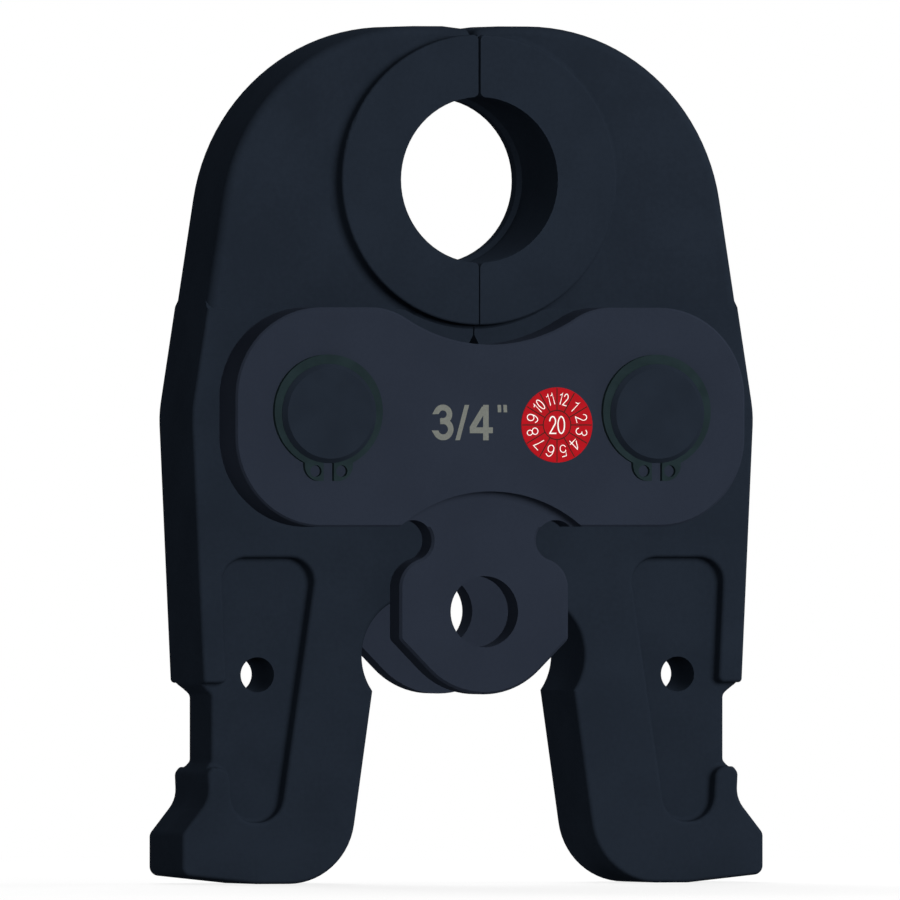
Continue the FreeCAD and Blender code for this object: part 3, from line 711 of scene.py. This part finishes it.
def sticker_numbers(middle, front):
    """The white centre number, and the hours round it, each between two lines."""
    mesh = bmesh.new()
    write(mesh, STICKER_CENTRE_TEXT, STICKER_CENTRE_HEIGHT, STICKER_CENTRE_STROKE,
          STICKER_NUMBER_THICKNESS, facing_front(middle.x, front, middle.z),
          STICKER_CENTRE_WIDTH, STICKER_CENTRE_GAP)
    for hour in range(1, STICKER_HOURS + 1):
        turn = FULL_TURN * (hour + 0.5) / STICKER_HOURS
        x = middle.x + STICKER_NUMBER_RADIUS * math.sin(turn)
        z = middle.z + STICKER_NUMBER_RADIUS * math.cos(turn)
        signs = str(hour)
        narrow = STICKER_DOUBLE_WIDTH if len(signs) > 1 else 1.0
        write(mesh, signs, STICKER_NUMBER_HEIGHT, STICKER_NUMBER_STROKE, STICKER_NUMBER_THICKNESS,
              facing_front(x, front, z, turn), narrow, STICKER_NUMBER_GAP)
    numbers = finished("sticker_numbers", mesh, ink("sticker_number_ink", STICKER_NUMBER_COLOUR))
    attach(numbers, "plates")


def sticker():
    """The inspection sticker: a red disc, its dark lines, and white numbers round a centre number."""
    low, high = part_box("inspection_sticker")
    middle = (low + high) / 2
    radius = (high.x - low.x) / 2
    sticker_disc(middle, radius, low.y, high.y)
    sticker_lines(middle, radius, low.y)
    sticker_numbers(middle, low.y)


def size_mark():
    """The fitting's size, printed on the front plate's bar."""
    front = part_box("front_plate")[0].y
    mesh = bmesh.new()
    for sign, (middle_x, height, stroke) in MARK_SIGNS.items():
        place = facing_front(middle_x, front, MARK_TOP - height / 2)
        write(mesh, [sign], height, stroke, MARK_THICKNESS, place)
    mark = finished("size_mark", mesh, ink("mark_ink", MARK_COLOUR, MARK_TONE_CHANGE))
    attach(mark, "plates")


def wire_rows(mesh, points):
    """A ring of vertices square to the wire at each point, carried along without a twist."""
    last = len(points) - 1
    side = (points[1] - points[0]).normalized().orthogonal().normalized()
    rows = []
    for index, point in enumerate(points):
        way = (points[min(index + 1, last)] - points[max(index - 1, 0)]).normalized()
        side = (side - way * side.dot(way)).normalized()
        other = way.cross(side)
        row = []
        for corner in range(WIRE_SIDES):
            angle = FULL_TURN * corner / WIRE_SIDES
            out = side * math.cos(angle) + other * math.sin(angle)
            row.append(mesh.verts.new(point + out * WIRE_RADIUS))
        rows.append(row)
    return rows


def tube(name, points, material):
    """A round wire along points, with its length and girth laid out as the texture's two axes."""
    mesh = bmesh.new()
    layout = mesh.loops.layers.uv.new("wire")
    rows = wire_rows(mesh, points)
    side_width = FULL_TURN * WIRE_RADIUS / WIRE_SIDES
    run = 0.0
    for near, far, before, beyond in zip(rows, rows[1:], points, points[1:]):
        next_run = run + (beyond - before).length
        for corner in range(WIRE_SIDES):
            after = (corner + 1) % WIRE_SIDES
            face = mesh.faces.new((near[corner], near[after], far[after], far[corner]))
            face.smooth = True
            along = (run, run, next_run, next_run)
            across = (corner, corner + 1, corner + 1, corner)
            for loop, u, v in zip(face.loops, along, across):
                loop[layout].uv = (u, side_width * v)
        run = next_run
    mesh.faces.new(rows[0][::-1])
    mesh.faces.new(rows[-1])
    return finished(name, mesh, material)


def coil_line():
    """The coil's points, from back to front, with its ends where the legs leave it."""
    turns = COIL_TURNS + 0.5 - LEG_LEAN / math.pi
    length = COIL_PITCH * turns
    height = PIVOT.z + COIL_RISE
    steps = round(turns * TURN_STEPS)
    points = []
    for step in range(steps + 1):
        angle = LEG_LEAN + FULL_TURN * turns * step / steps
        points.append(Vector((
            COIL_RADIUS * math.cos(angle),
            length / 2 - length * step / steps,
            height + COIL_RADIUS * math.sin(angle),
        )))
    return points


def leg_line(start):
    """The right leg's points: its bent tip, the bend's arc, and the straight up to the coil."""
    climb = COIL_PITCH / (FULL_TURN * COIL_RADIUS)
    leg_way = Vector((-math.sin(LEG_LEAN), -climb, math.cos(LEG_LEAN)))
    bend = start - leg_way * (LEG_DROP / math.cos(LEG_LEAN))
    tip = Vector((LEG_TIP_X, bend.y, bend.z))
    back = (tip - bend).normalized()
    ahead = (start - bend).normalized()
    half = back.angle(ahead) / 2
    reach = LEG_BEND_RADIUS / math.tan(half)
    centre = bend + (back + ahead).normalized() * (LEG_BEND_RADIUS / math.sin(half))
    first = (bend + back * reach - centre).normalized()
    last = (bend + ahead * reach - centre).normalized()
    arc = [centre + first.slerp(last, step / BEND_STEPS) * LEG_BEND_RADIUS
           for step in range(BEND_STEPS + 1)]
    straight = [arc[-1].lerp(start, step / BEND_STEPS) for step in range(1, BEND_STEPS + 1)]
    return [tip, tip.lerp(arc[0], 0.5)] + arc + straight


def closing_spring():
    """The torsion spring: its coil stays with the plates, and its two legs stand where they are
    drawn.
    """
    wire = spring_steel()
    coil_points = coil_line()
    coil = tube("spring_coil", coil_points, wire)
    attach(coil, "plates")
    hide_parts("closing_spring")

    right = leg_line(coil_points[0])
    left = [Vector((-point.x, -point.y, point.z)) for point in right]
    for side, points in (("right", right), ("left", left)):
        leg = tube("spring_" + side + "_leg", points, wire)
        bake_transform(leg)
        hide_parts("closing_spring")


def dress_nodes():
    """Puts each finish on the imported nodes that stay."""
    finishes = {
        "arm_steel": arm_steel(),
        "plate_steel": plate_steel(),
        "pin_steel": pin_steel(),
        "ring_steel": ring_steel(),
    }
    for node in frame["nodes"].values():
        for place in node.material_slots:
            slot_name = place.material.name
            if slot_name in finishes:
                place.material = finishes[slot_name]


# Stage

def seen_share(tree):
    """1 for rays from the camera, mirror-like faces and glass, and 0 for the light on the jaw."""
    path = tree.nodes.new("ShaderNodeLightPath")
    share = calculate(tree, "MAXIMUM", path.outputs["Is Camera Ray"], path.outputs["Is Glossy Ray"])
    return calculate(tree, "MAXIMUM", share, path.outputs["Is Transmission Ray"])


def light_node(tree, kind, strength):
    """A node that gives off white light, and its output."""
    node = tree.nodes.new(kind)
    node.inputs["Color"].default_value = WHITE
    feed(tree, node.inputs["Strength"], strength)
    return node.outputs[0]


def blended(tree, share, first, second):
    """One shader that turns into another."""
    node = tree.nodes.new("ShaderNodeMixShader")
    for socket, value in zip(node.inputs, (share, first, second)):
        feed(tree, socket, value)
    return node.outputs[0]


def floor_paper():
    """Pale paper that keeps a shadow, looks near white and fades into white."""
    material = bpy.data.materials.new("floor_paper")
    material.use_nodes = True
    tree = material.node_tree
    tree.nodes.clear()
    output = tree.nodes.new("ShaderNodeOutputMaterial")
    paper = tree.nodes.new("ShaderNodeBsdfDiffuse")
    paper.inputs["Color"].default_value = FLOOR_COLOUR
    seen = seen_share(tree)
    lit = tree.nodes.new("ShaderNodeAddShader")
    feed(tree, lit.inputs[0], paper.outputs[0])
    feed(tree, lit.inputs[1], light_node(tree, "ShaderNodeEmission", product(tree, seen, FLOOR_GLOW)))
    x, y = axes_of(tree, object_point(tree))[:2]
    away = stretched(tree, distance(tree, x, y), FLOOR_FADE_START, FLOOR_FADE_END)
    white = light_node(tree, "ShaderNodeEmission", 1.0)
    feed(tree, output.inputs["Surface"],
         blended(tree, product(tree, seen, away), lit.outputs[0], white))
    return material


def floor():
    """A pale disc under the jaw's feet."""
    mesh = bmesh.new()
    bmesh.ops.create_circle(mesh, cap_ends=True, radius=FLOOR_RADIUS, segments=FLOOR_SEGMENTS)
    data = bpy.data.meshes.new("floor")
    mesh.to_mesh(data)
    mesh.free()
    data.materials.append(floor_paper())
    thing = new_object("floor", data)
    thing.location = (0, 0, CAD_LOW.z)


def lamp(name, direction, width, level, casts_shadow):
    """A square lamp that makes a white face square to it look as bright as its level."""
    data = bpy.data.lights.new(name, "AREA")
    data.size = width
    data.energy = level * (math.pi * LAMP_DISTANCE) ** 2
    data.use_shadow = casts_shadow
    way = Vector(direction).normalized()
    thing = new_object(name, data)
    thing.location = (CAD_LOW + CAD_HIGH) / 2 + way * LAMP_DISTANCE
    thing.rotation_euler = way.to_track_quat("Z", "Y").to_euler()


def world():
    """A white surround that lights the jaw only softly."""
    surround = bpy.data.worlds.new("surround")
    bpy.context.scene.world = surround
    surround.use_nodes = True
    tree = surround.node_tree
    tree.nodes.clear()
    output = tree.nodes.new("ShaderNodeOutputWorld")
    soft = light_node(tree, "ShaderNodeBackground", AMBIENT)
    white = light_node(tree, "ShaderNodeBackground", 1.0)
    feed(tree, output.inputs["Surface"], blended(tree, seen_share(tree), soft, white))


def camera():
    """The view of the photograph."""
    data = bpy.data.cameras.new("camera")
    data.type = "PERSP"
    data.lens = LENS_LENGTH
    data.sensor_width = SENSOR_WIDTH
    data.clip_start = CLIP_START
    data.clip_end = CLIP_END
    aside = Vector((math.cos(VIEW_TURN), math.sin(VIEW_TURN), 0))
    back = Vector((math.sin(VIEW_TURN), -math.cos(VIEW_TURN), 0))
    away = VIEW_WIDTH * LENS_LENGTH / SENSOR_WIDTH + FOCUS_FORWARD
    thing = new_object("camera", data)
    thing.location = aside * AIM_ASIDE + Vector((0, 0, AIM_HEIGHT)) + back * away
    thing.rotation_euler = (QUARTER_TURN, 0, VIEW_TURN)
    bpy.context.scene.camera = thing


def main():
    """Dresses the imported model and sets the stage."""
    dress_nodes()
    sticker()
    size_mark()
    closing_spring()
    floor()
    for name, values in LAMPS.items():
        lamp(name, *values)
    world()
    camera()
    bpy.context.scene.view_settings.view_transform = "Standard"


main()
